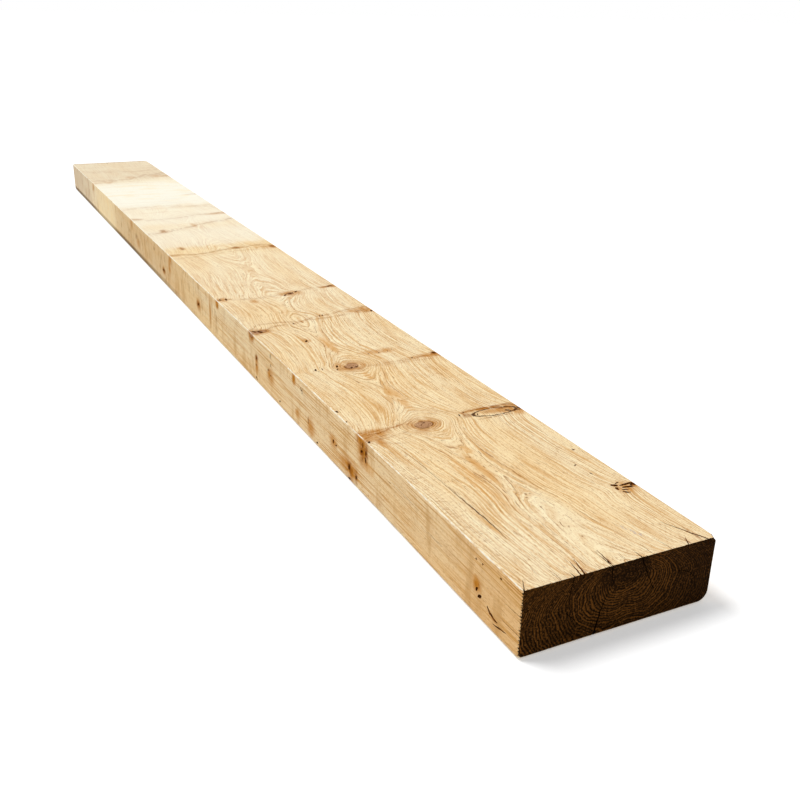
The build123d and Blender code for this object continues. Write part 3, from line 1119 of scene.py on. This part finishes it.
def wood_recipe(colours):
    """The solid wood: every face and cut shows the rings, branches and stains where they run through it."""
    recipe = Recipe(bpy.data.materials.new(SLOT))
    coordinates = recipe.signal(recipe.node("TexCoord"), "Object")
    place = recipe.vector("SCALE", coordinates, scale=1 / MM)
    split = recipe.node("SeparateXYZ", {}, {0: place})
    x, y, z = (recipe.signal(split, axis) for axis in "XYZ")

    bent = warp(recipe, place, 26.0, 4.0)
    ragged = warp(recipe, place, 5.0, 2.4)
    round_knot, swelling = branch_field(recipe, bent, ROUND_KNOTS, 0.0)
    spike, swelling = branch_field(recipe, bent, SPIKE_KNOTS, swelling)
    age = age_field(recipe, place, x, y, z, swelling)

    clouds = recipe.noise(place, (220, 46, 46), detail=3.0)
    mottle = recipe.noise(place, (20, 11, 11), detail=4.0, roughness=0.6)
    speckle = recipe.noise(place, (3.2, 1.5, 1.5), detail=2.0)
    at_side = abs(y).between(111.0, 112.1)
    clear = 1 - recipe.nearness(ragged, CLEAR).between(1.2, 0.4) * 0.9
    late, hairline = ring_lines(recipe, age, (mottle.between(0.25, 0.55) * 0.5 + 0.5) * clear)

    # Fibres and pores run along the rings, so they flow round the knots
    fibre_place = recipe.join(x * 0.010, age * 0.62, (y + z) * 0.035)
    fibres = recipe.noise(fibre_place, (1, 1, 1), detail=4.0, roughness=0.68)
    saw_lines = recipe.noise(place, (150, 1.5, 1.5), detail=3.0, roughness=0.65)
    grit = recipe.noise(place, (4.5, 1.1, 1.1), detail=2.0).between(0.54, 0.7)
    pore_place = recipe.join(x * 0.06, age * 1.7, (y - z) * 0.12)
    pores = recipe.noise(pore_place, (1, 1, 1), detail=1.0).between(0.65, 0.74)
    crowding = x.between(1195, 1250) * 0.05
    dashes = (recipe.noise(place, (15, 1.1, 1.1), detail=1.0) + crowding).between(0.68, 0.76)

    # Sound wood
    recipe.colour = recipe.mix(clouds.between(0.3, 0.72) * 0.8, colours.early, colours.warm)
    recipe.lay(at_side * recipe.curve(x, FRONT_WARMTH), colours.front)
    recipe.lay(at_side * recipe.curve(x, FRONT_BROWNER), paint(200, 152, 92))
    shown = 1 - at_side * 0.84
    nearer = x.between(-500, 500)
    recipe.lay(late * shown * (nearer * 0.68 + 0.4), colours.late)
    sawn = saw_lines.between(0.46, 0.60) * at_side * (x.between(0, 600) * 0.7 + 0.3)
    lines = (fibres.between(0.40, 0.66) * (1 - at_side)).at_least(sawn)
    calm = recipe.noise(place, (70, 26, 26), detail=2.0).between(0.36, 0.60)
    recipe.lay(lines * (calm * 0.55 + 0.4) * (nearer * 0.35 + 0.65) * (clear * 0.55 + 0.45), colours.fibre)
    patchy = x + (clouds - 0.5) * 70
    # Sun-bleached wood, and a painted highlight of glare where the far stretch is whitest
    pale_and_glare = recipe.curve(patchy, PALE_AND_GLARE_TOP) * (1 - at_side) + recipe.curve(patchy, BLEACH_SIDE) * at_side
    recipe.lay(pale_and_glare, colours.bleached)
    recipe.lay(grit * (nearer * 0.46 + 0.05), paint(186, 122, 48))
    hair = hairline * shown * clear * mottle.between(0.35, 0.6) * (x.between(150, 650) * 0.6 + 0.05)
    dark_dash = (pores * shown * 0.66).at_least(dashes * 0.75) * (nearer * 0.8 + 0.2)
    recipe.lay(hair.at_least(dark_dash), colours.dash)
    bands = recipe.noise(place, (22, 260, 90), detail=3.0, roughness=0.6).between(0.5, 0.7)
    farther = x.between(-100, -700)
    # A painted pool of sunlight on the far stretch, over the front and in patches on the top; the bands,
    # drips and lower painted shadow are weaker inside it
    painted_sun_patch = patchy.between(-910, -810) * patchy.between(-520, -680)
    sunlit = recipe.noise(place, (26, 60, 60), detail=3.0).between(0.48, 0.66)
    recipe.lay(painted_sun_patch * (at_side * 0.42 + sunlit * 0.26), paint(255, 224, 164))
    outside_sun_patch = 1 - painted_sun_patch * 0.72
    recipe.lay(bands * (at_side * 0.5 + farther * 0.20) * outside_sun_patch, paint(202, 154, 92))
    drips = recipe.noise(ragged, (7, 200, 24), detail=3.0, roughness=0.6).between(0.54, 0.72) * outside_sun_patch
    dripping = at_side * x.between(600, 200) * x.between(-1200, -900)
    recipe.lay(drips * dripping * 0.6, paint(168, 110, 44))
    recipe.lay(patchy.between(-880, -970) * 0.30, paint(206, 186, 160))
    recipe.lay(x.between(-1234, -1246) * (at_side * 0.3 + 0.45), paint(136, 102, 66))
    deep_lines = saw_lines.between(0.57, 0.68) * at_side * x.between(300, 1250)
    recipe.lay(deep_lines * 0.5, paint(152, 92, 32))

    glow = recipe.nearness(ragged, GLOWS).between(1.3, 0.4) * (fibres.between(0.3, 0.6) * 0.5 + 0.35)
    recipe.lay(glow * 0.75, paint(218, 158, 82))

    # Stain, and the streaks that run along the branches
    stain = recipe.nearness(ragged, STAINS).between(1.25, 0.2)
    haze = spike.between(1.35, 0.35).at_least(stain * 0.9).at_least(round_knot.between(2.4, 0.9) * 0.9)
    strength = mottle.between(0.2, 0.62) * 0.55 + 0.25 + at_side * 0.25
    recipe.lay(haze * strength * (x.between(-700, 400) * 0.5 + 0.5), colours.stain)
    marks = recipe.nearness(ragged, MARKS).between(1.4, 0.2) * mottle.between(0.3, 0.55)
    recipe.lay(marks * (nearer * 0.3 + 0.5), paint(142, 80, 20))
    broken = mottle.between(0.34, 0.56) * 0.65 + 0.15 + calm * 0.2
    recipe.lay(seam_lines(recipe, ragged) * (1 - at_side) * broken, paint(166, 100, 24))
    streaks = recipe.noise(ragged, (2.2, 19, 8), detail=3.0).between(0.52, 0.68) * spike.between(1.15, 0.5)
    recipe.lay(streaks * (x.between(-900, 300) * 0.5 + 0.25), paint(128, 70, 14))

    # Round knots: brown rings about a mottled heart with flecks, and a dark broken rim
    loops = (round_knot * 2.6 + mottle * 0.8).fraction().between(0.45, 0.8) * round_knot.between(3.0, 1.4)
    recipe.lay(loops * mottle.between(0.3, 0.55) * 0.6, paint(164, 100, 40))
    heart_rings = (round_knot * 4.2 + mottle * 1.5).fraction().between(0.25, 0.9)
    heart = recipe.mix(heart_rings * 0.4 + mottle * 0.3, colours.heart, paint(144, 98, 66))
    heart = recipe.mix(speckle.between(0.54, 0.66) * 0.8, heart, colours.bark)
    recipe.lay(round_knot.between(1.02, 0.86) * 0.85, heart)
    rim = round_knot.between(0.84, 0.97) * round_knot.between(1.14, 1.0)
    recipe.lay(rim * mottle.between(0.40, 0.58) * 0.85, paint(98, 54, 18))
    eye = recipe.nearness(ragged, EYES)
    outline = eye.between(0.87, 0.95) * eye.between(1.12, 1.03) * mottle.between(0.26, 0.42)
    recipe.lay(outline * 0.95, paint(76, 40, 12))

    scuff = recipe.nearness(ragged, SCUFF).between(1.2, 0.3) * speckle.between(0.40, 0.55)
    recipe.lay(scuff * 0.6, paint(176, 166, 172))

    # Torn fibres stand across the grain near the front arris
    torn_band = x.between(960, 1020) * x.between(1210, 1150) * y.between(-82, -96) * (1 - at_side)
    ticks = recipe.noise(place, (1.7, 9, 9), detail=2.0).between(0.56, 0.68)
    recipe.lay(torn_band * ticks * 0.4, paint(162, 102, 42))

    # The sharp front arris is worn pale and carries a painted highlight, and the end faces are dark with
    # weathered end grain and painted shade
    # A painted shadow along the front's lower arris, from about the middle to the far end, weaker in the
    # painted sun patch
    foot = (abs(y - FRONT_MM) + z).between(15, 9) * x.between(200, -400)
    recipe.lay(foot * (0.35 + outside_sun_patch * 0.4), paint(104, 76, 46))
    # A thin broken line along the front arris: worn wood and a painted highlight on its rounding
    frayed = recipe.noise(place, (6, 3, 3), detail=3.0, roughness=0.65)
    arris = (abs(y - FRONT_MM) + abs(z - TOP_MM) + frayed * 1.9).between(3.15, 2.35)
    rubbed_and_highlit = recipe.noise(place, (22, 3, 3), detail=4.0, roughness=0.65).between(0.32, 0.54)
    recipe.lay(arris * rubbed_and_highlit, colours.arris)
    # The end faces: weathered end grain, painted darker with shade
    reach = recipe.noise(place, (2.4, 2.4, 2.4))
    at_end = (abs(x) + reach * 0.7).between(END_MM - 0.64, END_MM - 0.44)
    recipe.lay(at_end, shaded_end_tone(recipe, place, y, z, colours))

    relief = recipe.noise(place, (60, 1.6, 1.6), detail=3.0, roughness=0.65)
    kerf = recipe.noise(place, (2.6, 60, 60), detail=1.0)
    height = relief + kerf * 0.4 + speckle * 0.25
    bump = recipe.node("Bump", {}, {"Strength": 0.8, "Distance": 0.001, "Height": height})
    return recipe.finish(
        Base_Color=recipe.colour,
        Roughness=relief * 0.25 + 0.65,
        Normal=recipe.signal(bump),
        Specular_IOR_Level=0.02,
    )


# The stage


# How wide the large lamp's sun looks, in degrees, and how wide the camera's sensor is, in millimetres
KEY_SPREAD = 25
SENSOR_WIDTH = 36


def floor_recipe(colour, glow):
    """A plain pale floor that takes the object's shadow, and that the camera sees whiter than it is lit."""
    recipe = Recipe(bpy.data.materials.new("pale_floor"))
    seen = recipe.signal(recipe.node("LightPath"), "Is Camera Ray")
    matt = recipe.node("BsdfDiffuse", {}, {"Color": (*colour, 1)})
    shine = recipe.node("Emission", {}, {"Strength": seen * glow})
    both = recipe.node("AddShader", {}, {0: recipe.signal(matt), 1: recipe.signal(shine)})
    recipe.node("OutputMaterial", {}, {"Surface": recipe.signal(both)})
    return recipe.owner


def sky_recipe(strength):
    """Even light from all round, which the camera sees as white."""
    recipe = Recipe(bpy.data.worlds.new("studio"))
    seen = recipe.signal(recipe.node("LightPath"), "Is Camera Ray")
    sky = recipe.node("Background", {}, {"Color": (1, 1, 1, 1), "Strength": strength})
    white = recipe.node("Background", {}, {"Color": (1, 1, 1, 1), "Strength": 1.0})
    both = recipe.node("MixShader", {}, {0: seen, 1: recipe.signal(sky), 2: recipe.signal(white)})
    recipe.node("OutputWorld", {}, {"Surface": recipe.signal(both)})
    return recipe.owner


class TIMBER_OT_stage(bpy.types.Operator):
    """Lay the floor, hang the lamps and stand the camera"""

    bl_idname = "timber.stage"
    bl_label = "Stage"

    def execute(self, context):
        stage = context.scene.stage_settings
        start()
        bpy.ops.mesh.primitive_plane_add(size=stage.floor_size)
        floor = fresh("floor")
        floor.data.materials.append(floor_recipe(stage.floor_colour, stage.floor_glow))
        context.scene.world = sky_recipe(stage.sky)

        bpy.ops.object.light_add(type="SUN", location=(0, 0, 5))
        lamp = bpy.context.object
        lamp.name = "key_lamp"
        lamp.data.energy = stage.key
        lamp.data.angle = math.radians(KEY_SPREAD)
        lamp.rotation_euler = Vector(stage.key_from).to_track_quat("Z", "Y").to_euler()

        bpy.ops.object.camera_add(location=stage.eye)
        camera = bpy.context.object
        camera.name = "camera"
        gaze, right = Vector(stage.gaze).normalized(), Vector(stage.right).normalized()
        camera.rotation_euler = Matrix((right, right.cross(gaze), -gaze)).transposed().to_euler()
        camera.data.sensor_width = SENSOR_WIDTH
        camera.data.lens = stage.lens
        context.scene.camera = camera
        context.scene.view_settings.view_transform = "Standard"
        return {"FINISHED"}


# The panel, and the order in which the pieces are made


PIECES = (TIMBER_OT_stage, TIMBER_OT_blank, TIMBER_OT_checks, TIMBER_OT_pits, TIMBER_OT_wear)
GROUPS = {"beam_sizes": BeamSizes, "wood_colours": WoodColours, "stage_settings": StageSettings}


class TIMBER_PT_panel(bpy.types.Panel):
    """The timber beam's steps, with its sizes and colours"""

    bl_idname = "TIMBER_PT_panel"
    bl_label = "Timber beam"
    bl_space_type = "VIEW_3D"
    bl_region_type = "UI"
    bl_category = "Timber"

    def draw(self, context):
        for piece in PIECES:
            self.layout.operator(piece.bl_idname)
        for name, group in GROUPS.items():
            box = self.layout.box()
            for setting in group.__annotations__:
                box.prop(getattr(context.scene, name), setting)


CLASSES = (*GROUPS.values(), *PIECES, TIMBER_PT_panel)


def register():
    """Makes the settings, the operators and the panel known."""
    for item in CLASSES:
        bpy.utils.register_class(item)
    for name, group in GROUPS.items():
        setattr(bpy.types.Scene, name, PointerProperty(type=group))


def unregister():
    """Takes the settings, the operators and the panel away again."""
    for name in GROUPS:
        delattr(bpy.types.Scene, name)
    for item in reversed(CLASSES):
        bpy.utils.unregister_class(item)


def main():
    """Makes every piece in its order."""
    register()
    bpy.ops.timber.stage()
    bpy.ops.timber.blank()
    bpy.ops.timber.checks()
    bpy.ops.timber.pits()
    bpy.ops.timber.wear()


if __name__ == "__main__":
    main()
